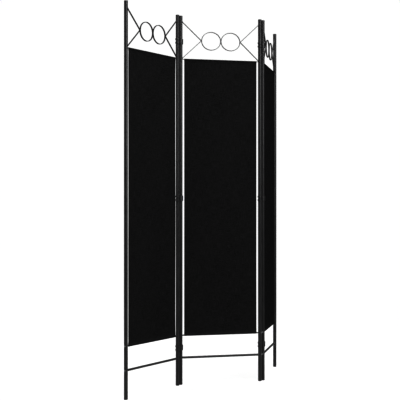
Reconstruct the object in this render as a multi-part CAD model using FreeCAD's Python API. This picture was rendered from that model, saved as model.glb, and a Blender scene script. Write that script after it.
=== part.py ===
import FreeCAD, Part
import math
import os

# Three-panel folding screen of steel tube with fabric infill, in millimetres, +Z up.
# Each panel is first built flat in its own frame: x runs from the axis of its left post to the
# axis of its right post, y points to its back, and z is the height above the floor.

# ---- whole screen ----
HEIGHT = 1800.0                  # floor to the top of the caps
POST_SPACING = 404.0             # between the two post axes of a panel
PIVOT_SPACING = 28.5             # between the two post axes that a hinge clip joins
LEFT_FOLD = 42.5                 # centre panel's plane to left panel, swung to the front
LEFT_CLIP_TURN = 45.0            # centre panel's plane to the left clips
RIGHT_FOLD = 63.5                # centre panel's plane to right panel, swung to the back
RIGHT_CLIP_TURN = 41.0           # centre panel's plane to the right clips

# ---- posts and their end caps ----
POST_RADIUS = 8.5
POST_WALL = 1.0
TOP_CAP_HEIGHT = 2.0
FOOT_CAP_HEIGHT = 4.0
CAP_STEM_LENGTH = 14.0
CAP_STEM_CLEARANCE = 0.1
CAP_EDGE = 0.6

# ---- rods, rail and fabric ----
RAIL_HEIGHT = 131.0
RAIL_RADIUS = 5.0
RAIL_WALL = 1.0
PLUG_LENGTH = 16.0
BOTTOM_ROD_HEIGHT = 240.1
BOTTOM_ROD_RADIUS = 2.75
TOP_ROD_HEIGHT = 1588.9
TOP_ROD_RADIUS = 1.5
TOP_ROD_REACH = 1.5              # of its ends, past the inside of the posts' walls
FABRIC_GAP = 9.8                 # from a post's surface to the fabric's edge
FABRIC_THICKNESS = 1.2
TUNNEL_CLEARANCE = 0.3
TUNNEL_WALL = 0.6

# ---- ornament above the fabric: two oval rings between two pairs of braces ----
RINGS_MEET = 203.0               # from the left post's axis: a millimetre off the panel's middle
RING_HEIGHT = 1682.2             # centre of the rings
RING_WIDTH = 98.8                # outside
RING_TALL = 90.0                 # outside
STRIP_THICKNESS = 2.5
STRIP_DEPTH = 6.0
BRACE_RISE = 88.3                # from the rings' centre to where a brace meets its post

# ---- pan-head screws ----
SHANK_RADIUS = 1.9
HOLE_RADIUS = 2.1
THREAD_RADIUS = 2.0
HEAD_RADIUS = 3.8
HEAD_HEIGHT = 1.3
HEAD_EDGE = 0.8
RECESS_WIDTH = 0.9
RECESS_LENGTH = 4.0
RECESS_DEPTH = 0.9
RAIL_SCREW_REACH = 10.0          # past the inner side of the post, into the rod or the rail's plug
STOP_SCREW_REACH = 6.0           # through the one wall that a stop screw holds on

# ---- hinge clips ----
CLIP_HEIGHTS = {"bottom": 181.0, "middle": 909.0, "top": 1674.0}
CLIP_TALL = 24.0
SHORT_KNUCKLE_WALL = 2.2
TALL_KNUCKLE_WALL = 3.2
BORE_CLEARANCE = 0.08
WEB_THICKNESS = 6.0
KNUCKLE_GAP = 9.5                # between the two short knuckles, where the stop screw sits
STOP_SCREW_BEARING = 65.0        # in the panel's plan, from +x: outwards and to the back
STOP_SWEEP = 1.2                 # room left round the stop screw's head

UP = FreeCAD.Vector(0, 0, 1)
ALONG = FreeCAD.Vector(1, 0, 0)
BACK = FreeCAD.Vector(0, 1, 0)


def point(x, z, y=0.0):
    """A point of a panel, given along the panel and up it."""
    return FreeCAD.Vector(x, y, z)


def rounded_rod(radius, length, base, edge, round_top):
    """An upright cylinder with one end's rim rounded."""
    rod = Part.makeCylinder(radius, length, base, UP)
    rim_height = base.z + length if round_top else base.z
    rims = [e for e in rod.Edges if e.Closed and abs(e.CenterOfMass.z - rim_height) < 0.01]
    return rod.makeFillet(edge, rims)


def post_solid(x):
    """The outside of a post, without its bore."""
    return Part.makeCylinder(POST_RADIUS, HEIGHT, point(x, 0.0), UP)


def pan_screw(seat, direction, reach):
    """A cross-recess pan-head screw; its head stands back from the seat, its shank runs forward."""
    shank = Part.makeCylinder(SHANK_RADIUS, reach, FreeCAD.Vector(0, 0, 0), UP)
    sunk = 1.2                   # the head's underside follows the round post below the seat
    head = Part.makeCylinder(HEAD_RADIUS, HEAD_HEIGHT + sunk, FreeCAD.Vector(0, 0, -HEAD_HEIGHT), UP)
    crown = [e for e in head.Edges if e.Closed and e.CenterOfMass.z < 0]
    screw = head.makeFillet(HEAD_EDGE, crown).fuse(shank)
    for length, width in ((RECESS_LENGTH, RECESS_WIDTH), (RECESS_WIDTH, RECESS_LENGTH)):
        corner = FreeCAD.Vector(-length / 2, -width / 2, -HEAD_HEIGHT)
        screw = screw.cut(Part.makeBox(length, width, RECESS_DEPTH, corner))
    screw = screw.removeSplitter()
    screw.Placement = FreeCAD.Placement(seat, FreeCAD.Rotation(UP, direction))
    return screw


def strip(start, end, thickness, depth):
    """A straight flat strip on edge, between two points in the panel's plane."""
    run = (end - start).normalize()
    side = FreeCAD.Vector(-run.z, 0, run.x) * (thickness / 2)
    outline = [start + side, end + side, end - side, start - side]
    face = Part.Face(Part.makePolygon(outline + outline[:1]))
    face.translate(BACK * (-depth / 2))
    return face.extrude(BACK * depth)


def oval(centre_x, width, tall, depth):
    """A solid oval disc that faces the front."""
    ellipse = Part.Ellipse(point(centre_x, RING_HEIGHT), width / 2, tall / 2)
    ellipse.Axis = FreeCAD.Vector(0, -1, 0)
    ellipse.XAxis = ALONG
    face = Part.Face(Part.Wire([ellipse.toShape()]))
    face.translate(BACK * (-depth / 2))
    return face.extrude(BACK * depth)


def build_post(x, inward, has_stops):
    """A hollow post, drilled for its screws and the top rod; inward is +1 or -1, towards the fabric."""
    length = HEIGHT - TOP_CAP_HEIGHT - FOOT_CAP_HEIGHT
    base = point(x, FOOT_CAP_HEIGHT)
    post = Part.makeCylinder(POST_RADIUS, length, base, UP)
    post = post.cut(Part.makeCylinder(POST_RADIUS - POST_WALL, length, base, UP))
    for height in (RAIL_HEIGHT, BOTTOM_ROD_HEIGHT):
        start = point(x - 2 * POST_RADIUS, height)
        post = post.cut(Part.makeCylinder(HOLE_RADIUS, 4 * POST_RADIUS, start, ALONG))
    socket = Part.makeCylinder(TOP_ROD_RADIUS, 2 * POST_RADIUS, point(x, TOP_ROD_HEIGHT), ALONG * inward)
    post = post.cut(socket)
    if has_stops:
        bearing = stop_direction()
        for height in CLIP_HEIGHTS.values():
            post = post.cut(Part.makeCylinder(THREAD_RADIUS, 2 * POST_RADIUS, point(x, height), bearing))
    return post


def build_caps():
    """The plugs in the posts' ends: plain at the top, thicker under the feet."""
    stem_radius = POST_RADIUS - POST_WALL - CAP_STEM_CLEARANCE
    tops = []
    feet = []
    for x in (0.0, POST_SPACING):
        top_base = HEIGHT - TOP_CAP_HEIGHT
        top = rounded_rod(POST_RADIUS, TOP_CAP_HEIGHT, point(x, top_base), CAP_EDGE, True)
        stem = Part.makeCylinder(stem_radius, CAP_STEM_LENGTH, point(x, top_base - CAP_STEM_LENGTH), UP)
        tops.append(top.fuse(stem))
        foot = rounded_rod(POST_RADIUS, FOOT_CAP_HEIGHT, point(x, 0.0), CAP_EDGE, False)
        stem = Part.makeCylinder(stem_radius, CAP_STEM_LENGTH, point(x, FOOT_CAP_HEIGHT), UP)
        feet.append(foot.fuse(stem))
    return Part.makeCompound(tops), Part.makeCompound(feet)


def build_top_rod():
    """A plain thin rod whose ends sit in the posts' inner walls."""
    end_x = POST_RADIUS - POST_WALL - TOP_ROD_REACH
    return Part.makeCylinder(TOP_ROD_RADIUS, POST_SPACING - 2 * end_x, point(end_x, TOP_ROD_HEIGHT), ALONG)


def build_bottom_rod():
    """A solid rod with a tapped hole in each end, cut where it meets the round posts."""
    rod = Part.makeCylinder(BOTTOM_ROD_RADIUS, POST_SPACING, point(0.0, BOTTOM_ROD_HEIGHT), ALONG)
    for x in (0.0, POST_SPACING):
        rod = rod.cut(post_solid(x))
    return drill_ends(rod, BOTTOM_ROD_HEIGHT)


def drill_ends(solid, height):
    """The tapped holes that the screws through the posts run into."""
    depth = POST_RADIUS + RAIL_SCREW_REACH + 2.0
    solid = solid.cut(Part.makeCylinder(THREAD_RADIUS, depth, point(0.0, height), ALONG))
    return solid.cut(Part.makeCylinder(THREAD_RADIUS, depth, point(POST_SPACING, height), -ALONG))


def build_rail():
    """The lower cross rail, a tube, and the tapped plugs pressed into its two ends."""
    rail = Part.makeCylinder(RAIL_RADIUS, POST_SPACING, point(0.0, RAIL_HEIGHT), ALONG)
    bore_radius = RAIL_RADIUS - RAIL_WALL
    rail = rail.cut(Part.makeCylinder(bore_radius, POST_SPACING, point(0.0, RAIL_HEIGHT), ALONG))
    plugs = []
    for x, inward in ((0.0, ALONG), (POST_SPACING, -ALONG)):
        rail = rail.cut(post_solid(x))
        start = point(x, RAIL_HEIGHT)
        plug = Part.makeCylinder(bore_radius, POST_RADIUS + PLUG_LENGTH, start, inward)
        plugs.append(drill_ends(plug.cut(post_solid(x)), RAIL_HEIGHT))
    return rail, Part.makeCompound(plugs)


def build_fabric():
    """The fabric as one closed sheet, with a tunnel round the rod at its top and bottom."""
    edge = POST_RADIUS + FABRIC_GAP
    width = POST_SPACING - 2 * edge
    corner = FreeCAD.Vector(edge, -FABRIC_THICKNESS / 2, BOTTOM_ROD_HEIGHT)
    fabric = Part.makeBox(width, FABRIC_THICKNESS, TOP_ROD_HEIGHT - BOTTOM_ROD_HEIGHT, corner)
    rods = ((BOTTOM_ROD_HEIGHT, BOTTOM_ROD_RADIUS), (TOP_ROD_HEIGHT, TOP_ROD_RADIUS))
    for height, rod_radius in rods:
        outside = rod_radius + TUNNEL_CLEARANCE + TUNNEL_WALL
        fabric = fabric.fuse(Part.makeCylinder(outside, width, point(edge, height), ALONG))
    for height, rod_radius in rods:
        inside = rod_radius + TUNNEL_CLEARANCE
        fabric = fabric.cut(Part.makeCylinder(inside, width, point(edge, height), ALONG))
    return fabric


def build_rings():
    """The two oval rings, each bent from strip; they touch near the middle of the panel."""
    rings = []
    for side in (-1, 1):
        centre = RINGS_MEET + side * RING_WIDTH / 2
        outside = oval(centre, RING_WIDTH, RING_TALL, STRIP_DEPTH)
        inner_width = RING_WIDTH - 2 * STRIP_THICKNESS
        inner_tall = RING_TALL - 2 * STRIP_THICKNESS
        rings.append(outside.cut(oval(centre, inner_width, inner_tall, STRIP_DEPTH)))
    return rings


def build_brace(inward, rise):
    """A brace from the side of a ring to a post, its ends cut to fit both for welding."""
    post_x = 0.0 if inward > 0 else POST_SPACING
    ring_x = RINGS_MEET - inward * RING_WIDTH
    foot = point(post_x + inward * POST_RADIUS, RING_HEIGHT + rise)
    root = point(ring_x, RING_HEIGHT)
    overrun = (root - foot).normalize() * STRIP_DEPTH
    brace = strip(root + overrun, foot - overrun, STRIP_THICKNESS, STRIP_DEPTH)
    brace = brace.cut(post_solid(post_x))
    ring_centre = RINGS_MEET - inward * RING_WIDTH / 2
    brace = brace.cut(oval(ring_centre, RING_WIDTH, RING_TALL, 2 * STRIP_DEPTH))
    # Along the middle, where the upper and the lower brace meet, each keeps its own side.
    floor_z = RING_HEIGHT if rise > 0 else RING_HEIGHT - RING_TALL * 2
    keep = Part.makeBox(POST_SPACING, 2 * STRIP_DEPTH, RING_TALL * 2,
                        FreeCAD.Vector(0, -STRIP_DEPTH, floor_z))
    pieces = sorted(brace.common(keep).Solids, key=lambda solid: solid.Volume)
    return pieces[-1]


def build_screws():
    """A panel's screws: two through each post from outside, into the bottom rod and the rail's plug."""
    screws = []
    for x, inward in ((0.0, ALONG), (POST_SPACING, -ALONG)):
        for height in (RAIL_HEIGHT, BOTTOM_ROD_HEIGHT):
            seat = point(x, height) - inward * POST_RADIUS
            screw = pan_screw(seat, inward, 2 * POST_RADIUS + RAIL_SCREW_REACH)
            screws.append(screw.cut(post_sleeve(x)))
    return Part.makeCompound(screws)


def post_sleeve(x):
    """A post's outside with a channel for the shanks left out, to fit screw heads to it."""
    sleeve = post_solid(x)
    for height in (RAIL_HEIGHT, BOTTOM_ROD_HEIGHT):
        start = point(x - 2 * POST_RADIUS, height)
        sleeve = sleeve.cut(Part.makeCylinder(SHANK_RADIUS, 4 * POST_RADIUS, start, ALONG))
    return sleeve


def stop_direction():
    """The way a stop screw's head faces, from the post's axis."""
    bearing = math.radians(STOP_SCREW_BEARING)
    return FreeCAD.Vector(math.cos(bearing), math.sin(bearing), 0)


def build_stop_screws():
    """The screws in a right post that keep the hinge clips at their heights."""
    outward = stop_direction()
    screws = []
    for height in CLIP_HEIGHTS.values():
        centre = point(POST_SPACING, height)
        screw = pan_screw(centre + outward * POST_RADIUS, -outward, STOP_SCREW_REACH)
        shank_zone = Part.makeCylinder(SHANK_RADIUS, 2 * POST_RADIUS, centre, outward)
        screws.append(screw.cut(post_solid(POST_SPACING).cut(shank_zone)))
    return Part.makeCompound(screws)


def build_clip(height):
    """A moulded hinge clip: two short knuckles round the post at x = 0, one tall one at the other."""
    base = height - CLIP_TALL / 2
    bore = POST_RADIUS + BORE_CLEARANCE
    clip = Part.makeCylinder(POST_RADIUS + SHORT_KNUCKLE_WALL, CLIP_TALL, point(0.0, base), UP)
    tall_radius = POST_RADIUS + TALL_KNUCKLE_WALL
    clip = clip.fuse(Part.makeCylinder(tall_radius, CLIP_TALL, point(PIVOT_SPACING, base), UP))
    corner = FreeCAD.Vector(0, -WEB_THICKNESS / 2, base)
    clip = clip.fuse(Part.makeBox(PIVOT_SPACING, WEB_THICKNESS, CLIP_TALL, corner))
    sweep = POST_RADIUS + HEAD_HEIGHT + STOP_SWEEP
    gap_base = point(0.0, height - KNUCKLE_GAP / 2)
    clip = clip.cut(Part.makeCylinder(sweep, KNUCKLE_GAP, gap_base, UP))
    for x in (0.0, PIVOT_SPACING):
        clip = clip.cut(Part.makeCylinder(bore, CLIP_TALL, point(x, base), UP))
    return clip.removeSplitter()


def build_panel(has_stops):
    """All the pieces of one panel, by name."""
    pieces = {
        "left_post": build_post(0.0, 1, False),
        "right_post": build_post(POST_SPACING, -1, has_stops),
        "top_rod": build_top_rod(),
        "bottom_rod": build_bottom_rod(),
        "fabric": build_fabric(),
        "upper_left_brace": build_brace(1, BRACE_RISE),
        "lower_left_brace": build_brace(1, -BRACE_RISE),
        "upper_right_brace": build_brace(-1, BRACE_RISE),
        "lower_right_brace": build_brace(-1, -BRACE_RISE),
        "screws": build_screws(),
    }
    pieces["top_caps"], pieces["foot_caps"] = build_caps()
    pieces["cross_rail"], pieces["rail_plugs"] = build_rail()
    pieces["left_ring"], pieces["right_ring"] = build_rings()
    if has_stops:
        pieces["stop_screws"] = build_stop_screws()
    return pieces


def turned(angle):
    """The direction along a panel or clip that is turned by an angle from the centre panel."""
    return FreeCAD.Vector(math.cos(math.radians(angle)), math.sin(math.radians(angle)), 0)


def placed(pieces, prefix, origin, angle, nodes):
    """Adds pieces to the nodes, moved from their own frame to their place in the screen."""
    placement = FreeCAD.Placement(origin, FreeCAD.Rotation(UP, angle))
    for name, shape in pieces.items():
        node = shape.copy()
        node.Placement = placement.multiply(node.Placement)
        nodes[prefix + name] = node


# The post axes in plan, worked outwards from the centre panel along x.
centre_left = FreeCAD.Vector(0, 0, 0)
centre_right = ALONG * POST_SPACING
left_inner = centre_left - turned(LEFT_CLIP_TURN) * PIVOT_SPACING
left_outer = left_inner - turned(LEFT_FOLD) * POST_SPACING
right_inner = centre_right + turned(RIGHT_CLIP_TURN) * PIVOT_SPACING

nodes = {}
clips = {f"{place}_clip": build_clip(height) for place, height in CLIP_HEIGHTS.items()}
placed(build_panel(True), "left_panel_", left_outer, LEFT_FOLD, nodes)
placed(build_panel(True), "centre_panel_", centre_left, 0.0, nodes)
placed(build_panel(False), "right_panel_", right_inner, RIGHT_FOLD, nodes)
placed(clips, "left_fold_", left_inner, LEFT_CLIP_TURN, nodes)
placed(clips, "right_fold_", centre_right, RIGHT_CLIP_TURN, nodes)

# The origin is on the floor, in the middle of the standing screen's plan.
bounds = Part.makeCompound(list(nodes.values())).BoundBox
to_origin = FreeCAD.Vector(-(bounds.XMin + bounds.XMax) / 2, -(bounds.YMin + bounds.YMax) / 2, 0)

os.makedirs("parts", exist_ok=True)
for name, shape in nodes.items():
    shape.translate(to_origin)
    shape.exportStep(f"parts/{name}.step")

axes = {
    "left_outer": left_outer,
    "left_inner": left_inner,
    "centre_left": centre_left,
    "centre_right": centre_right,
    "right_inner": right_inner,
    "right_outer": right_inner + turned(RIGHT_FOLD) * POST_SPACING,
}
for name, axis in axes.items():
    axis = axis + to_origin
    print(f"post axis {name}: {axis.x:.6f} {axis.y:.6f}")
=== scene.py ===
import math

import bpy
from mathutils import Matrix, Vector, noise


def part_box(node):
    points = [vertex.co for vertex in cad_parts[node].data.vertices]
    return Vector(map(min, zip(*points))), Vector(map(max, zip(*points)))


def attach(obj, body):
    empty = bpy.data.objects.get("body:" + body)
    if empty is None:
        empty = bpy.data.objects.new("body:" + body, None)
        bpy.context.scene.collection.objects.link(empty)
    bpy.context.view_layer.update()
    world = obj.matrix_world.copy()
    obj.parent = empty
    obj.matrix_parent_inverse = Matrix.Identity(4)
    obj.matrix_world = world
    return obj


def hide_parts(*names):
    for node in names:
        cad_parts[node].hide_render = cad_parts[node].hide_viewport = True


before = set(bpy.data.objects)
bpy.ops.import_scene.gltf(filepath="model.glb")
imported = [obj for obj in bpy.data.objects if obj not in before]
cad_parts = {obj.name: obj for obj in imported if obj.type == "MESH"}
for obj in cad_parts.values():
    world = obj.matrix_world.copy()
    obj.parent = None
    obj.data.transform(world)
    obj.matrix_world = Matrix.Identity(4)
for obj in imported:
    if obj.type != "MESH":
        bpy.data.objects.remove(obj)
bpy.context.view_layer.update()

# A folding screen in a white studio. Lengths are in metres. Each panel has its own frame:
# x along the panel from its left post's axis, y towards its back, z up from the floor.

PANELS = ("left_panel", "centre_panel", "right_panel")

# ---- camera ----
CAMERA_PLACE = (-1.1633, -4.6483, 0.8922)
CAMERA_TURN = 13.637             # degrees clockwise from looking along +Y
CAMERA_TILT = 0.102              # degrees upwards
CAMERA_LENS = 86.86              # millimetres, on a 36 mm sensor

CONTRAST = 1.8                   # exponent on the finished picture: dark tones go darker, white stays

# ---- light ----
OVERHEAD_HEIGHT = 5.0
OVERHEAD_SIZE = 4.0
OVERHEAD_POWER = 550
KEY_TURN = 18                    # degrees round from -Y towards +X
KEY_DISTANCE = 4.0
KEY_WIDTH = 3.0
KEY_HEIGHT = 2.4
KEY_LOWER_EDGE = 1.1
KEY_POWER = 168
SIDE_TURN = -105                 # degrees round from -Y towards +X, so this one stands at the left
SIDE_DISTANCE = 3.0
SIDE_WIDTH = 1.2
SIDE_HEIGHT = 2.4
SIDE_POWER = 30
REAR_TURN = 205                  # degrees round from -Y towards +X, so this one lights the backs
REAR_POWER = 130
BACKDROP = 1.006                 # just over white
DOME_LOW = 0.10
DOME_HIGH = 0.50
DOME_TOP = 1.44

# ---- floor ----
FLOOR_RADIUS = 3.8
FLOOR_SIDES = 96
FLOOR_FADES_FROM = 1.2           # metres from the middle of the screen
FLOOR_GONE_AT = 2.8
FLOOR_VEIL = 0.2                 # how much of the floor covers the background in the picture
FLOOR_PALE = (0.55, 0.55, 0.55)
FLOOR_PALER = (0.57, 0.57, 0.57)
FLOOR_BOUNCE = (0.40, 0.40, 0.40)  # its colour in the light that it throws back

# ---- colours in linear light, most as a pair that a material varies between ----
COAT = ((0.034, 0.034, 0.0346), (0.054, 0.054, 0.0548))
COAT_SCUFF = (0.100, 0.098, 0.094)
PLASTIC = ((0.034, 0.034, 0.0346), (0.048, 0.048, 0.0488))
ZINC = ((0.30, 0.305, 0.315), (0.42, 0.42, 0.412))
STEEL = ((0.42, 0.42, 0.43), (0.30, 0.28, 0.25))
WELD = ((0.033, 0.033, 0.0335), (0.051, 0.051, 0.0518))
# The weave's thread colours: darker in its dips as painted shade, lighter on its crowns as painted
# light; each pair varies with the slubs.
SHADED_THREAD_DIPS = ((0.0072, 0.0072, 0.0073), (0.0136, 0.0136, 0.0137))
LIT_THREAD_CROWNS = ((0.031, 0.031, 0.0314), (0.051, 0.051, 0.0516))
CLOTH_DUST = (0.035, 0.035, 0.0353)
SEWING_THREAD = ((0.018, 0.018, 0.0183), (0.036, 0.036, 0.0364))

# ---- cloth ----
CLOTH_THICKNESS = 0.0004
ROD_TO_CLOTH = 0.0008            # from a rod's surface to the middle of the cloth round it
SEAM_BESIDE_ROD = 0.0040         # from there to the seam that closes the rod's tunnel
FLAP_LENGTH = 0.007              # of the cloth's end beyond the seam
LAYER_GAP = 0.0016               # between the two layers at a tunnel's seam, where a hem lies in it
CLOSED_GAP = 0.00056             # between them elsewhere
GAP_CLOSES_OVER = 0.02           # from one to the other, along the seam
SEAM_SHIFT_FADE = 0.02           # from a seam, how soon the sheet comes back to its middle
SIDE_HEM = 0.011                 # width folded to the back along each side
HEM_OFFSET = 0.0005              # between the hem's two layers
ROW_STEP = 0.010
COLUMN_STEP = 0.008
ARC_STEPS = 14                   # round a rod
STRAIGHT_STEPS = 3               # from a rod to its seam
THINNEST_STRIP = 0.0001          # least width of a column on the cloth's map
WEAVE_PITCH = 0.00060            # between threads
RIPPLE_HEIGHT = 0.0009           # of the small puckers along a seam
RIPPLE_REACH = 0.075             # how far from the seam they fade out
RIPPLES_PER_METRE = 55
RIPPLE_START = 0.012             # beside the seam itself, which is flat
SHEET_MIDDLE = 0.9               # above this height the puckers are the top seam's
WAVE_HEIGHT = 0.0016             # of the sheet's slow waves
WAVE_START = 0.12                # from a seam to where they are full
SLOW_WAVES = (5, 1.6)            # per metre, across the sheet and down it
FINER_WAVES = (13, 2.2)
FINER_WAVE_SHARE = 0.45          # of the slow waves' height

# ---- sewing thread ----
STITCH_LENGTH = 0.0034
STITCH_PITCH = 0.0040
STITCH_WIDTH = 0.00045
STITCH_INSET = 0.009             # of the side seams from the cloth's edge
STITCH_TAPER = 0.62              # share of a stitch's half length before it tapers
STITCH_SECTION = ((-0.5, 0.0), (0.0, -0.35), (0.5, 0.0), (0.0, 0.55))  # (across, up), in widths
SEAM_MARGIN = 0.002              # that a tunnel's seam stops short of the cloth's edges
SIDE_MARGIN = 0.004              # that a side seam stops short of the tunnels' seams

# ---- the ornament's strips, as built ----
STRIP_DEPTH = 0.006
STRIP_THICKNESS = 0.0025
BRACE_RISE = 0.0883              # from the rings' centre to where a brace meets its post

# ---- welds ----
WELD_RADIUS = 0.0013             # of the beads on the rings
BRACE_WELD_RADIUS = 0.85 * WELD_RADIUS
WELD_BITE = 0.6                  # of a bead's radius, from its middle to the faces that it joins
RING_WELD_GAP = 1.6 * WELD_RADIUS  # between the two rings, where the bead between them sits
WELD_LENGTH = 1.02 * STRIP_DEPTH
WELD_SIDES = 10
WELD_STEPS = 12
WELD_RIPPLES = 4                 # along a bead
WELD_RIPPLE_DEPTH = 0.07         # of its radius
WELD_WANDER = 0.10               # of its radius, off its straight line
WELD_WANDERS_PER_METRE = 900
WANDER_SEED = 1                  # any whole number but 0, which stands for the clock
WELD_TIP = 0.15                  # of its radius, left at each end


# ---------------------------------------------------------------- panels and their frames

def middle(node):
    """The centre of a CAD node's box."""
    low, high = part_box(node)
    return (low + high) / 2


class Panel:
    """A panel's own frame, read from its posts, and the heights and edges of what it holds."""

    def __init__(self, name):
        self.name = name
        left = middle(f"{name}_left_post")
        right = middle(f"{name}_right_post")
        self.origin = Vector((left.x, left.y, 0))
        self.spacing = (right - left).length
        self.along = (right - left).normalized()
        self.back = Vector((-self.along.y, self.along.x, 0))
        self.top_rod = middle(f"{name}_top_rod").z
        self.bottom_rod = middle(f"{name}_bottom_rod").z
        self.cloth_radius = {}
        for rod in ("top", "bottom"):
            low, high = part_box(f"{name}_{rod}_rod")
            self.cloth_radius[rod] = (high.z - low.z) / 2 + ROD_TO_CLOTH
        self.top_seam = self.top_rod - self.cloth_radius["top"] - SEAM_BESIDE_ROD
        self.bottom_seam = self.bottom_rod + self.cloth_radius["bottom"] + SEAM_BESIDE_ROD
        low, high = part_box(f"{name}_left_post")
        self.post_radius = (high.x - low.x) / 2
        left_ring = middle(f"{name}_left_ring")
        right_ring = middle(f"{name}_right_ring")
        self.ring_height = left_ring.z
        self.ring_width = self.x_of(right_ring) - self.x_of(left_ring)
        self.rings_meet = (self.x_of(left_ring) + self.x_of(right_ring)) / 2
        low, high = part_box(f"{name}_fabric")
        reach = Vector((high.x - low.x, high.y - low.y, 0))
        slant = abs(self.along.x) + abs(self.along.y)
        self.cloth_width = (reach.x + reach.y - self.fabric_depth() * slant) / slant
        self.cloth_edge = (self.spacing - self.cloth_width) / 2
        self.seed = PANELS.index(name) * 17.3

    def fabric_depth(self):
        """How deep the CAD fabric is, front to back, where it goes round the thicker rod."""
        lower_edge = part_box(f"{self.name}_fabric")[0].z
        return 2 * (self.bottom_rod - lower_edge)

    def x_of(self, place):
        """How far along the panel a place is."""
        return (Vector((place.x, place.y, 0)) - self.origin).dot(self.along)

    def at(self, x, y, z):
        """A place in the whole screen's frame."""
        return self.origin + self.along * x + self.back * y + Vector((0, 0, z))


# ---------------------------------------------------------------- materials

def new_material(name):
    """An empty Principled material, as its node tree and its shader."""
    material = bpy.data.materials.new(name)
    material.use_nodes = True
    tree = material.node_tree
    shader = tree.nodes["Principled BSDF"]
    return material, tree, shader


def add(tree, kind, **settings):
    """A shader node of the given kind."""
    made = tree.nodes.new(f"ShaderNode{kind}")
    for key, value in settings.items():
        setattr(made, key, value)
    return made


def place_on_piece(tree):
    """Coordinates in metres that ride with the piece."""
    return add(tree, "TexCoord").outputs["Object"]


def clouds(tree, coordinates, size, detail=2.0, stretch=(1, 1, 1)):
    """A grey pattern with lumps of the given size in metres."""
    scaled = add(tree, "Mapping")
    scaled.inputs["Scale"].default_value = stretch
    tree.links.new(coordinates, scaled.inputs["Vector"])
    pattern = add(tree, "TexNoise")
    pattern.inputs["Scale"].default_value = 1 / size
    pattern.inputs["Detail"].default_value = detail
    tree.links.new(scaled.outputs["Vector"], pattern.inputs["Vector"])
    return pattern.outputs["Fac"]


def spread(tree, value, low, high, start=0.3, end=0.7):
    """The value from start to end, spread over low to high."""
    ranged = add(tree, "MapRange")
    for socket, number in (("From Min", start), ("From Max", end), ("To Min", low), ("To Max", high)):
        ranged.inputs[socket].default_value = number
    tree.links.new(value, ranged.inputs["Value"])
    return ranged.outputs["Result"]


def maths(tree, operation, first, second=None):
    """One sum on sockets or numbers."""
    made = add(tree, "Math", operation=operation)
    for socket, value in zip(made.inputs, (first, second)):
        if value is None:
            continue
        if isinstance(value, (int, float)):
            socket.default_value = value
        else:
            tree.links.new(value, socket)
    return made.outputs["Value"]


def blend_colours(tree, factor, first, second):
    """The colour between two, as the factor goes from 0 to 1; each is a colour or a socket."""
    mix = add(tree, "Mix", data_type="RGBA")
    tree.links.new(factor, mix.inputs["Factor"])
    for socket, colour in ((mix.inputs[6], first), (mix.inputs[7], second)):
        if isinstance(colour, tuple):
            socket.default_value = (*colour, 1)
        else:
            tree.links.new(colour, socket)
    return mix.outputs[2]


def bumps(tree, shader, *layers):
    """Bump on the shader from (height socket, depth in metres) layers, coarse to fine."""
    normal = None
    for height, depth in layers:
        bump = add(tree, "Bump")
        bump.inputs["Strength"].default_value = 1.0
        bump.inputs["Distance"].default_value = depth
        tree.links.new(height, bump.inputs["Height"])
        if normal is not None:
            tree.links.new(normal, bump.inputs["Normal"])
        normal = bump.outputs["Normal"]
    tree.links.new(normal, shader.inputs["Normal"])


def powder_coat():
    """Satin black powder coat: orange peel, faint patchiness, and scuffs low on the posts."""
    material, tree, shader = new_material("black_powder_coat")
    where = place_on_piece(tree)
    patches = clouds(tree, where, size=0.045, detail=3.0)
    peel = clouds(tree, where, size=0.0016, detail=1.0)
    grit = clouds(tree, where, size=0.00035, detail=2.0)
    specks = clouds(tree, where, size=0.004, detail=4.0)
    coat = blend_colours(tree, spread(tree, patches, 0, 1, start=0.1, end=0.9), *COAT)
    height = add(tree, "SeparateXYZ")
    tree.links.new(where, height.inputs["Vector"])
    low_down = spread(tree, height.outputs["Z"], 1.0, 0.0, start=0.004, end=0.060)
    chips = spread(tree, specks, 0.0, 0.7, start=0.56, end=0.66)
    scuffs = maths(tree, "MULTIPLY", low_down, chips)
    tree.links.new(blend_colours(tree, scuffs, coat, COAT_SCUFF), shader.inputs["Base Color"])
    satin = spread(tree, patches, 0.24, 0.38, start=0.1, end=0.9)
    rougher = maths(tree, "MULTIPLY", scuffs, 0.3)
    tree.links.new(maths(tree, "ADD", satin, rougher), shader.inputs["Roughness"])
    shader.inputs["Specular IOR Level"].default_value = 0.38
    bumps(tree, shader, (peel, 0.00005), (grit, 0.000006))
    return material


def moulded_plastic():
    """Satin black nylon with the fine sparkle of a textured mould, a little rubbed."""
    material, tree, shader = new_material("black_moulded_plastic")
    where = place_on_piece(tree)
    texture = clouds(tree, where, size=0.0005, detail=3.0)
    rubbed = clouds(tree, where, size=0.012, detail=3.0)
    colour = blend_colours(tree, spread(tree, rubbed, 0, 1), *PLASTIC)
    tree.links.new(colour, shader.inputs["Base Color"])
    tree.links.new(spread(tree, rubbed, 0.44, 0.33), shader.inputs["Roughness"])
    shader.inputs["Specular IOR Level"].default_value = 0.48
    bumps(tree, shader, (texture, 0.00002))
    return material


def zinc_plate():
    """Bright zinc plate, clouded white in places, with fine marks from the driver."""
    material, tree, shader = new_material("zinc_plated_steel")
    where = place_on_piece(tree)
    bloom = clouds(tree, where, size=0.0030, detail=4.0)
    scratches = clouds(tree, where, size=0.0006, detail=2.0, stretch=(1, 1, 6))
    clouded = spread(tree, maths(tree, "MULTIPLY", bloom, scratches), 0, 1, start=0.22, end=0.40)
    colour = blend_colours(tree, clouded, *ZINC)
    tree.links.new(colour, shader.inputs["Base Color"])
    tree.links.new(spread(tree, bloom, 0.26, 0.44), shader.inputs["Roughness"])
    shader.inputs["Metallic"].default_value = 0.45
    bumps(tree, shader, (scratches, 0.00001))
    return material


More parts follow.
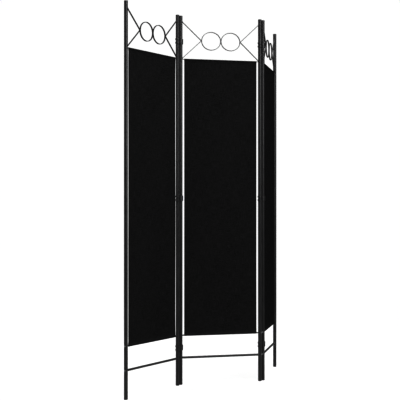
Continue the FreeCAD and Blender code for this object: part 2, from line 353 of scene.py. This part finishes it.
def plain_steel():
    """Turned steel, bare inside the rail."""
    material, tree, shader = new_material("turned_steel")
    where = place_on_piece(tree)
    marks = clouds(tree, where, size=0.0004, detail=2.0)
    stains = clouds(tree, where, size=0.006, detail=3.0)
    colour = blend_colours(tree, spread(tree, stains, 0, 1), *STEEL)
    tree.links.new(colour, shader.inputs["Base Color"])
    tree.links.new(spread(tree, stains, 0.28, 0.5), shader.inputs["Roughness"])
    shader.inputs["Metallic"].default_value = 1.0
    bumps(tree, shader, (marks, 0.00001))
    return material


def weld_metal():
    """Weld metal under the same black coat, rougher than the strip."""
    material, tree, shader = new_material("coated_weld")
    where = place_on_piece(tree)
    lumps = clouds(tree, where, size=0.0012, detail=3.0)
    colour = blend_colours(tree, spread(tree, lumps, 0, 1), *WELD)
    tree.links.new(colour, shader.inputs["Base Color"])
    tree.links.new(spread(tree, lumps, 0.38, 0.56), shader.inputs["Roughness"])
    shader.inputs["Specular IOR Level"].default_value = 0.34
    bumps(tree, shader, (lumps, 0.00012))
    return material


def woven_cloth():
    """Opaque black plain weave, drawn from the cloth's own map, which is in metres, with painted shade
    in the weave's dips and painted light on its crowns.
    """
    material, tree, shader = new_material("black_woven_polyester")
    flat = add(tree, "UVMap", uv_map="cloth").outputs["UV"]
    axes = add(tree, "SeparateXYZ")
    tree.links.new(flat, axes.inputs["Vector"])
    waves = []
    for axis in ("X", "Y"):
        turns = maths(tree, "MULTIPLY", axes.outputs[axis], 2 * math.pi / WEAVE_PITCH)
        waves.append(maths(tree, "SINE", turns))
    # Over and under: one thread's crown lies where the other dips.
    weave = spread(tree, maths(tree, "MULTIPLY", *waves), 0, 1, start=-1, end=1)
    warp_slubs = clouds(tree, flat, size=0.0022, detail=2.0, stretch=(1, 0.06, 1))
    weft_slubs = clouds(tree, flat, size=0.0022, detail=2.0, stretch=(0.06, 1, 1))
    slubs = maths(tree, "MULTIPLY", maths(tree, "ADD", warp_slubs, weft_slubs), 0.5)
    fuzz = clouds(tree, flat, size=0.00025, detail=3.0)
    shade = clouds(tree, flat, size=0.16, detail=2.0)
    lean = spread(tree, slubs, 0, 1, 0.40, 0.60)
    # Each thread colour varies with the slubs; the weave's height picks between them, as painted shade
    # in the dips and painted light on the crowns.
    shaded_dips = blend_colours(tree, lean, *SHADED_THREAD_DIPS)
    lit_crowns = blend_colours(tree, lean, *LIT_THREAD_CROWNS)
    threads = blend_colours(tree, weave, shaded_dips, lit_crowns)
    dusty = spread(tree, shade, 0.0, 0.25)
    tree.links.new(blend_colours(tree, dusty, threads, CLOTH_DUST), shader.inputs["Base Color"])
    tree.links.new(spread(tree, fuzz, 0.82, 0.98), shader.inputs["Roughness"])
    shader.inputs["Specular IOR Level"].default_value = 0.0
    bumps(tree, shader, (slubs, 0.00010), (weave, 0.00012), (fuzz, 0.00003))
    return material


def sewing_thread():
    """Twisted polyester thread, a touch shinier than the cloth."""
    material, tree, shader = new_material("black_thread")
    where = place_on_piece(tree)
    twist = clouds(tree, where, size=0.0003, detail=2.0)
    colour = blend_colours(tree, spread(tree, twist, 0, 1), *SEWING_THREAD)
    tree.links.new(colour, shader.inputs["Base Color"])
    tree.links.new(spread(tree, twist, 0.50, 0.66), shader.inputs["Roughness"])
    shader.inputs["Specular IOR Level"].default_value = 0.30
    bumps(tree, shader, (twist, 0.00006))
    return material


def studio_floor():
    """Pale matte floor that lets the white background through, and fades into it at its rim."""
    material, tree, shader = new_material("pale_floor")
    where = place_on_piece(tree)
    mottle = clouds(tree, where, size=0.9, detail=3.0)
    pale = blend_colours(tree, spread(tree, mottle, 0, 1), FLOOR_PALE, FLOOR_PALER)
    seen = add(tree, "LightPath").outputs["Is Camera Ray"]
    tree.links.new(blend_colours(tree, seen, FLOOR_BOUNCE, pale), shader.inputs["Base Color"])
    shader.inputs["Roughness"].default_value = 0.9
    shader.inputs["Specular IOR Level"].default_value = 0.0
    distance = add(tree, "VectorMath", operation="LENGTH")
    tree.links.new(where, distance.inputs[0])
    fade = spread(tree, distance.outputs["Value"], 1.0, 0.0, start=FLOOR_FADES_FROM, end=FLOOR_GONE_AT)
    veil = spread(tree, seen, 1.0, FLOOR_VEIL, start=0.0, end=1.0)
    tree.links.new(maths(tree, "MULTIPLY", fade, veil), shader.inputs["Alpha"])
    return material


MATERIALS = {
    "steel": powder_coat(),
    "plastic": moulded_plastic(),
    "screw": zinc_plate(),
    "plain": plain_steel(),
    "weld": weld_metal(),
    "cloth": woven_cloth(),
    "thread": sewing_thread(),
    "floor": studio_floor(),
}


def dress_cad_nodes():
    """Gives every CAD node the material of what it is made of."""
    for name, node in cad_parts.items():
        if name.endswith("screws"):
            material = MATERIALS["screw"]
        elif name.endswith("plugs"):
            material = MATERIALS["plain"]
        elif name.endswith("caps") or name.endswith("clip"):
            material = MATERIALS["plastic"]
        else:
            material = MATERIALS["steel"]
        for index in range(len(node.material_slots)):
            node.material_slots[index].material = material


# ---------------------------------------------------------------- meshes

def new_piece(name, points, faces, material, smooth=True):
    """A mesh object in the screen's frame."""
    mesh = bpy.data.meshes.new(name)
    mesh.from_pydata([tuple(p) for p in points], [], faces)
    mesh.polygons.foreach_set("use_smooth", [smooth] * len(faces))
    mesh.materials.append(material)
    mesh.update()
    piece = bpy.data.objects.new(name, mesh)
    bpy.context.scene.collection.objects.link(piece)
    return piece


def fade_in(value, start, end):
    """0 below start, 1 above end, smooth between."""
    t = min(1.0, max(0.0, (value - start) / (end - start)))
    return t * t * (3 - 2 * t)


def billow(panel, x, z):
    """How far the hanging cloth stands back from the flat at a place, small and slow."""
    from_seam = min(panel.top_seam - z, z - panel.bottom_seam)
    free = fade_in(from_seam, 0.0, WAVE_START)
    across, down = SLOW_WAVES
    slow = noise.noise(Vector((x * across + panel.seed, 0.3, z * down))) * WAVE_HEIGHT
    across, down = FINER_WAVES
    drawn = noise.noise(Vector((x * across, panel.seed, z * down))) * WAVE_HEIGHT * FINER_WAVE_SHARE
    which_seam = 9.0 if z > SHEET_MIDDLE else 0.0
    pucker = noise.noise(Vector((x * RIPPLES_PER_METRE, panel.seed + 5, which_seam))) * RIPPLE_HEIGHT
    near = math.exp(-max(0.0, from_seam) / RIPPLE_REACH) * fade_in(from_seam, 0.0, RIPPLE_START)
    return (slow + drawn) * free + pucker * near


def layer_gap(panel, x):
    """The gap between the two layers at a tunnel's seam: wider where the side hems lie between."""
    from_edge = min(x - panel.cloth_edge, panel.spacing - panel.cloth_edge - x)
    past_hem = fade_in(from_edge, SIDE_HEM, SIDE_HEM + GAP_CLOSES_OVER)
    return LAYER_GAP + (CLOSED_GAP - LAYER_GAP) * past_hem


def tunnel(panel, x, rod):
    """The cloth's section round a rod, from the free end of its flap to the front seam.

    Each entry is (y, z, inside y, inside z): a place, and the direction towards the loop's inside.
    """
    gap = layer_gap(panel, x)
    radius = panel.cloth_radius[rod]
    seam = radius + SEAM_BESIDE_ROD
    slant = math.asin(radius / seam)
    section = []
    for down in (seam + FLAP_LENGTH, seam + FLAP_LENGTH / 2, seam):
        section.append((gap / 2, -down, -1.0, 0.0))
    tangent = (radius * math.cos(slant), -radius * math.sin(slant))
    for step in range(1, STRAIGHT_STEPS):
        t = step / STRAIGHT_STEPS
        y = gap / 2 + (tangent[0] - gap / 2) * t
        section.append((y, -seam + (tangent[1] + seam) * t, -math.cos(slant), math.sin(slant)))
    for step in range(ARC_STEPS + 1):
        angle = -slant + (math.pi + 2 * slant) * step / ARC_STEPS
        out = (math.cos(angle), math.sin(angle))
        section.append((radius * out[0], radius * out[1], -out[0], -out[1]))
    for step in range(1, STRAIGHT_STEPS + 1):
        t = step / STRAIGHT_STEPS
        y = -tangent[0] + (tangent[0] - gap / 2) * t
        section.append((y, tangent[1] - (tangent[1] + seam) * t, math.cos(slant), math.sin(slant)))
    height, sign = (panel.top_rod, 1) if rod == "top" else (panel.bottom_rod, -1)
    return [(y, height + sign * z, in_y, sign * in_z) for y, z, in_y, in_z in section]


def cloth_section(panel, x):
    """The whole section of the cloth at x, from the top flap down the front to the bottom flap."""
    top = tunnel(panel, x, "top")
    bottom = tunnel(panel, x, "bottom")[::-1]
    start = top[-1][1]
    end = bottom[0][1]
    rows = round((start - end) / ROW_STEP)
    front = -layer_gap(panel, x) / 2
    hanging = []
    for row in range(1, rows):
        z = start + (end - start) * row / rows
        near = math.exp(-min(start - z, z - end) / SEAM_SHIFT_FADE)
        hanging.append((front * near, z, 1.0, 0.0))
    return top + hanging + bottom


def cloth_columns(panel):
    """Columns across the cloth, from one hem's raw edge to the other's: (x, share of the hem's offset).

    A hem turns round the cloth's edge in a half circle and runs back on the inside.
    """
    left = panel.cloth_edge
    right = panel.spacing - left
    radius = HEM_OFFSET / 2
    turn = [(radius * (1 - math.sin(a)), (1 + math.cos(a)) / 2)
            for a in (math.pi * k / 4 for k in range(1, 4))]
    hem = [(inset, 1.0) for inset in (SIDE_HEM, SIDE_HEM * 0.6, SIDE_HEM * 0.25, radius)]
    hem += turn + [(radius, 0.0)]
    inner = left + SIDE_HEM
    count = round((right - left - 2 * SIDE_HEM) / COLUMN_STEP)
    columns = [(left + inset, share) for inset, share in hem]
    columns += [(left + SIDE_HEM * 0.5, 0.0)]
    columns += [(inner + (right - SIDE_HEM - inner) * k / count, 0.0) for k in range(count + 1)]
    columns += [(right - SIDE_HEM * 0.5, 0.0)]
    columns += [(right - inset, share) for inset, share in hem[::-1]]
    return columns


def on_cloth(panel, x, y, z):
    """A place near the flat cloth, moved with its billows."""
    return panel.at(x, y + billow(panel, x, z), z)


def make_cloth(panel):
    """One sheet: tunnels round both rods, hems along both sides, cloth thickness all over."""
    columns = cloth_columns(panel)
    points = []
    lengths = []
    for x, share in columns:
        section = cloth_section(panel, x)
        travelled = 0.0
        previous = section[0]
        for y, z, in_y, in_z in section:
            travelled += math.hypot(y - previous[0], z - previous[1])
            previous = (y, z)
            offset = share * HEM_OFFSET
            points.append(on_cloth(panel, x, y + in_y * offset, z + in_z * offset))
            lengths.append(travelled)
    rows = len(points) // len(columns)
    faces = []
    for column in range(len(columns) - 1):
        for row in range(rows - 1):
            corner = column * rows + row
            faces.append((corner, corner + rows, corner + rows + 1, corner + 1))
    cloth = new_piece(f"{panel.name}_cloth", points, faces, MATERIALS["cloth"])
    across = [0.0]
    for (x, _), (next_x, _) in zip(columns, columns[1:]):
        across.append(across[-1] + max(abs(next_x - x), THINNEST_STRIP))
    uv = cloth.data.uv_layers.new(name="cloth")
    for loop in cloth.data.loops:
        uv.data[loop.index].uv = (across[loop.vertex_index // rows], lengths[loop.vertex_index])
    shell = cloth.modifiers.new("thickness", "SOLIDIFY")
    shell.thickness = CLOTH_THICKNESS
    shell.offset = 0.0
    cut = (across[-1], max(lengths))
    return cloth, cut


def add_stitch(points, faces, centre, run, side, lift):
    """One stitch: a thread that rises out of the cloth, lies along it and dips back in."""
    first = len(points)
    half = STITCH_LENGTH / 2
    points.append(centre - run * half - lift * STITCH_WIDTH * 0.5)
    for share in (-STITCH_TAPER, STITCH_TAPER):
        ring = centre + run * (half * share)
        for across, up in STITCH_SECTION:
            points.append(ring + side * (across * STITCH_WIDTH) + lift * (up * STITCH_WIDTH))
    points.append(centre + run * half - lift * STITCH_WIDTH * 0.5)
    for k in range(4):
        near = first + 1 + k
        beside = first + 1 + (k + 1) % 4
        faces.append((first, beside, near))
        faces.append((near, beside, beside + 4, near + 4))
        faces.append((first + 9, near + 4, beside + 4))


def stitch_places(panel):
    """Every stitch of a panel: (x, z, "across" or "down", y of the front, y of the back)."""
    half_cloth = CLOTH_THICKNESS / 2
    top_seam = panel.top_seam
    bottom_seam = panel.bottom_seam
    left = panel.cloth_edge
    right = panel.spacing - left
    places = []
    count = int((right - left - 2 * SEAM_MARGIN) / STITCH_PITCH)
    start = (left + right - count * STITCH_PITCH) / 2
    for k in range(count + 1):
        x = start + k * STITCH_PITCH
        gap = layer_gap(panel, x) / 2 + half_cloth
        for z in (top_seam, bottom_seam):
            places.append((x, z, "across", -gap, gap))
    count = int((top_seam - bottom_seam - 2 * SIDE_MARGIN) / STITCH_PITCH)
    start = (top_seam + bottom_seam - count * STITCH_PITCH) / 2
    for k in range(count + 1):
        z = start + k * STITCH_PITCH
        near = math.exp(-min(top_seam - z, z - bottom_seam) / SEAM_SHIFT_FADE)
        sunk = -LAYER_GAP / 2 * near
        for x in (left + STITCH_INSET, right - STITCH_INSET):
            places.append((x, z, "down", sunk - half_cloth, sunk + HEM_OFFSET + half_cloth))
    return places


def make_stitching(panel):
    """The thread of the tunnel seams and of the side hems, on both faces of the cloth."""
    points = []
    faces = []
    up = Vector((0, 0, 1))
    for x, z, way, front, back in stitch_places(panel):
        run, side = (panel.along, up) if way == "across" else (up, panel.along)
        add_stitch(points, faces, on_cloth(panel, x, front, z), run, side, -panel.back)
        add_stitch(points, faces, on_cloth(panel, x, back, z), run, side, panel.back)
    return new_piece(f"{panel.name}_stitching", points, faces, MATERIALS["thread"])


def add_bead(points, faces, panel, x, z, radius, seed, post_side=0):
    """A weld bead that runs through the strip's depth, with the ripples of its making.

    With post_side 1 or -1 it follows a round post on that side of it.
    """
    first = len(points)
    for step in range(WELD_STEPS + 1):
        t = step / WELD_STEPS
        y = (t - 0.5) * WELD_LENGTH
        closing = math.sqrt(max(0.0, 1 - (2 * t - 1) ** 6))
        ripple = 1 + WELD_RIPPLE_DEPTH * math.cos(2 * math.pi * WELD_RIPPLES * t)
        reach = max(WELD_TIP, closing) * radius * ripple
        drift = noise.noise_vector(Vector((seed, y * WELD_WANDERS_PER_METRE, 0.5)))
        wander = drift * radius * WELD_WANDER
        hug = post_side * (panel.post_radius - math.sqrt(panel.post_radius ** 2 - y ** 2))
        for k in range(WELD_SIDES):
            angle = 2 * math.pi * k / WELD_SIDES
            ring_x = x + hug + wander.x + reach * math.cos(angle)
            points.append(panel.at(ring_x, y, z + wander.z + reach * math.sin(angle)))
    for step in range(WELD_STEPS):
        ring = first + step * WELD_SIDES
        for k in range(WELD_SIDES):
            here = ring + k
            beside = ring + (k + 1) % WELD_SIDES
            faces.append((here, beside, beside + WELD_SIDES, here + WELD_SIDES))
    faces.append(tuple(range(first + WELD_SIDES - 1, first - 1, -1)))
    last = first + WELD_STEPS * WELD_SIDES
    faces.append(tuple(range(last, last + WELD_SIDES)))


def in_corner(corner, first, second):
    """The middle of a bead in the corner between two faces, given the ways they run from it."""
    half = first.angle(second) / 2
    reach = WELD_BITE * BRACE_WELD_RADIUS / math.sin(half)
    return corner + (first + second).normalized() * reach


def brace_welds(panel, post_to_ring):
    """An upper left brace's beads: (x, z) from its post's axis and the rings' centre, and post side."""
    foot = Vector((panel.post_radius, BRACE_RISE))
    root = Vector((post_to_ring, 0.0))
    down = (root - foot).normalized()
    face = Vector((-down.y, down.x)) * (STRIP_THICKNESS / 2)
    up = Vector((0.0, 1.0))
    above = foot + face + down * (face.x / -down.x)
    below = foot - face + down * (face.x / down.x)
    at_ring = root + face + down * (-face.x / down.x)
    return [
        (in_corner(above, up, down), -1),
        (in_corner(below, -up, down), -1),
        (in_corner(at_ring, up, -down), 0),
    ]


def make_welds(panel):
    """Beads where the rings touch each other and where the braces meet the rings and the posts."""
    points = []
    faces = []
    centre = panel.rings_meet
    half_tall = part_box(f"{panel.name}_left_ring")[1].z - panel.ring_height
    # Two ovals that touch stand RING_WELD_GAP apart at this height above the touching point.
    rise = half_tall * math.sqrt(1 - (1 - RING_WELD_GAP / panel.ring_width) ** 2)
    for sign in (-1, 1):
        z = panel.ring_height + sign * rise
        add_bead(points, faces, panel, centre, z, WELD_RADIUS, panel.seed + sign)
    for side in (-1, 1):
        root = centre + side * panel.ring_width
        post_to_ring = root if side < 0 else panel.spacing - root
        # Between a ring's two braces, their facing sides meet this far from the ring.
        slope = math.atan2(BRACE_RISE, post_to_ring - panel.post_radius)
        crotch = STRIP_THICKNESS / 2 / math.sin(slope)
        bead_x = root + side * (crotch + WELD_RADIUS * WELD_BITE)
        seed = panel.seed + 3 * side
        add_bead(points, faces, panel, bead_x, panel.ring_height, WELD_RADIUS, seed)
        for place, post_side in brace_welds(panel, post_to_ring):
            x = place.x if side < 0 else panel.spacing - place.x
            for sign in (-1, 1):
                z = panel.ring_height + sign * place.y
                seed = panel.seed + 7 * side + sign + 40 * place.y
                add_bead(points, faces, panel, x, z, BRACE_WELD_RADIUS, seed, -side * post_side)
    return new_piece(f"{panel.name}_weld_beads", points, faces, MATERIALS["weld"])


# ---------------------------------------------------------------- studio

def make_floor():
    """A round floor, larger than the part of it that shows."""
    turns = [2 * math.pi * k / FLOOR_SIDES for k in range(FLOOR_SIDES)]
    rim = [(FLOOR_RADIUS * math.cos(turn), FLOOR_RADIUS * math.sin(turn), 0) for turn in turns]
    face = tuple(range(FLOOR_SIDES))
    floor = new_piece("studio_floor", rim, [face], MATERIALS["floor"], smooth=False)


def make_background():
    """White behind everything; a softer, top-bright dome lights the object."""
    world = bpy.data.worlds.new("white_studio")
    bpy.context.scene.world = world
    world.use_nodes = True
    tree = world.node_tree
    tree.nodes.clear()
    up = add(tree, "SeparateXYZ")
    tree.links.new(add(tree, "TexCoord").outputs["Generated"], up.inputs["Vector"])
    dome = add(tree, "Background")
    dome.inputs["Color"].default_value = (1, 1, 1, 1)
    strength = spread(tree, up.outputs["Z"], DOME_LOW, DOME_HIGH, start=0.0, end=DOME_TOP)
    tree.links.new(strength, dome.inputs["Strength"])
    backdrop = add(tree, "Background")
    backdrop.inputs["Color"].default_value = (1, 1, 1, 1)
    backdrop.inputs["Strength"].default_value = BACKDROP
    mix = add(tree, "MixShader")
    tree.links.new(add(tree, "LightPath").outputs["Is Camera Ray"], mix.inputs["Fac"])
    tree.links.new(dome.outputs["Background"], mix.inputs[1])
    tree.links.new(backdrop.outputs["Background"], mix.inputs[2])
    output = add(tree, "OutputWorld")
    tree.links.new(mix.outputs["Shader"], output.inputs["Surface"])


def softbox(name, place, target, width, height, watts, mirrored=True):
    """A rectangular area light that faces its target; mirrored says if glossy surfaces show it."""
    light = bpy.data.lights.new(name, "AREA")
    light.shape = "RECTANGLE"
    light.size = width
    light.size_y = height
    light.energy = watts
    lamp = bpy.data.objects.new(name, light)
    lamp.location = place
    lamp.rotation_euler = (Vector(target) - Vector(place)).to_track_quat("-Z", "Y").to_euler()
    lamp.visible_glossy = mirrored
    bpy.context.scene.collection.objects.link(lamp)


def upright(name, turn, distance, middle_height, width, height, watts, mirrored=True):
    """An upright softbox round the screen, turned from -Y towards +X and facing inwards."""
    way = math.radians(turn)
    place = (distance * math.sin(way), -distance * math.cos(way), middle_height)
    softbox(name, place, (0.0, 0.0, middle_height), width, height, watts, mirrored)


def make_lights():
    """An overhead and a rear light that no surface mirrors, and a key and a side light that show."""
    above = (0.0, 0.0, OVERHEAD_HEIGHT)
    floor_centre = (0.0, 0.0, 0.0)
    size = OVERHEAD_SIZE
    softbox("overhead", above, floor_centre, size, size, OVERHEAD_POWER, mirrored=False)
    height = KEY_LOWER_EDGE + KEY_HEIGHT / 2
    upright("key", KEY_TURN, KEY_DISTANCE, height, KEY_WIDTH, KEY_HEIGHT, KEY_POWER)
    upright("side", SIDE_TURN, SIDE_DISTANCE, SIDE_HEIGHT / 2, SIDE_WIDTH, SIDE_HEIGHT, SIDE_POWER)
    upright("rear", REAR_TURN, KEY_DISTANCE, height, KEY_WIDTH, KEY_HEIGHT, REAR_POWER, mirrored=False)


def make_camera():
    """A level camera in front of the screen, a little to its left."""
    camera = bpy.data.objects.new("camera", bpy.data.cameras.new("camera"))
    camera.data.lens = CAMERA_LENS
    camera.data.sensor_width = 36.0
    camera.location = CAMERA_PLACE
    camera.rotation_euler = (math.radians(90 + CAMERA_TILT), 0, math.radians(-CAMERA_TURN))
    bpy.context.scene.collection.objects.link(camera)
    bpy.context.scene.camera = camera


# ---------------------------------------------------------------- the screen

noise.seed_set(WANDER_SEED)
dress_cad_nodes()
for panel in map(Panel, PANELS):
    cloth, cut = make_cloth(panel)
    stitching = make_stitching(panel)
    welds = make_welds(panel)
    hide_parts(f"{panel.name}_fabric")
    for piece, slot in ((cloth, "black_fabric"), (stitching, "black_fabric"), (welds, "black_steel")):
        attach(piece, panel.name)

make_floor()
make_background()
make_lights()
make_camera()
view = bpy.context.scene.view_settings
view.view_transform = "Standard"
view.gamma = 1 / CONTRAST
